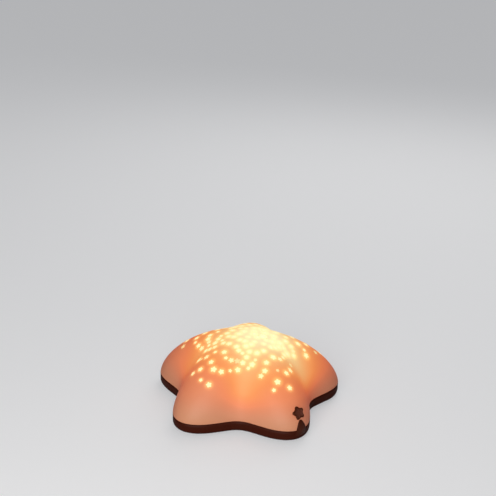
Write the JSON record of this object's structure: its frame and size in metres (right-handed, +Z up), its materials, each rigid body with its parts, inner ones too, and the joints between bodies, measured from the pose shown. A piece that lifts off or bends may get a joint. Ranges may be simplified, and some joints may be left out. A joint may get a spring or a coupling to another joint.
{
  "type": "star night light projector",
  "caption": "Battery night light whose domed star-shaped shell with small star windows projects stars, with a star push button on an arm and a hinged battery cover underneath.",
  "frame": {"origin": "centre of the footprint on the plane under the rubber feet", "axes": "+Z up; -Y is the front, where the valley between two arms faces the viewer; +X to the right"},
  "size_m": [0.2005, 0.1932, 0.0785],
  "materials": {
    "shell_plastic": "satin translucent shell, lit from inside",
    "case_plastic": "dark brown, fine moulded grain",
    "button_plastic": "dark brown with a lighter dished centre",
    "foot_rubber": "matt",
    "white_plastic": "matt white",
    "clear_plastic": "clear moulded resin",
    "black_plastic": "matt black",
    "board_laminate": "green solder mask",
    "cell_jacket": "plain dark sleeve",
    "spring_steel": "nickel plated",
    "screw_steel": "zinc plated",
    "wire_jacket": "smooth",
    "wire_jacket_red": "smooth"
  },
  "bodies": {
    "lamp": {"battery_1": "cell_jacket", "battery_2": "cell_jacket", "battery_3": "cell_jacket", "battery_lead_minus": "wire_jacket", "battery_lead_plus": "wire_jacket_red", "board_screws": "screw_steel", "bracket_screws": "screw_steel", "case_screws": "screw_steel", "circuit_board": "board_laminate", "contact_spring_1": "spring_steel", "contact_spring_2": "spring_steel", "contact_spring_3": "spring_steel", "controller_chip": "black_plastic", "deck_screws": "screw_steel", "electrolytic_capacitor": "black_plastic", "led_holder": "white_plastic", "lens_dome": "clear_plastic", "link_plate_left": "spring_steel", "link_plate_right": "spring_steel", "lower_case": "case_plastic", "reflector_deck": "white_plastic", "rubber_foot_1": "foot_rubber", "rubber_foot_2": "foot_rubber", "rubber_foot_3": "foot_rubber", "rubber_foot_4": "foot_rubber", "rubber_foot_5": "foot_rubber", "smd_parts": "black_plastic", "star_led": "clear_plastic", "star_shell": "shell_plastic", "switch_board": "board_laminate", "switch_bracket": "white_plastic", "switch_lead": "wire_jacket", "tact_switch": "black_plastic", "terminal_plate_left": "spring_steel", "terminal_plate_right": "spring_steel"},
    "button": {"star_button": "button_plastic", "switch_plunger": "black_plastic"},
    "cover": {"battery_cover": "case_plastic", "cover_screw": "screw_steel"}
  },
  "joints": [
    {"name": "button_press", "type": "slide", "parent": "lamp", "child": "button", "axis": [-0.601, 0.5916, -0.5375], "range_m": [0, 0.001], "stiffness_N_per_m": 1000, "springref_m": -0.0005},
    {"name": "cover_hinge", "type": "hinge", "parent": "lamp", "child": "cover", "pos_m": [0, 0.01923, 0.003], "axis": [1, 0, 0], "range_deg": [0, 75]}
  ]
}
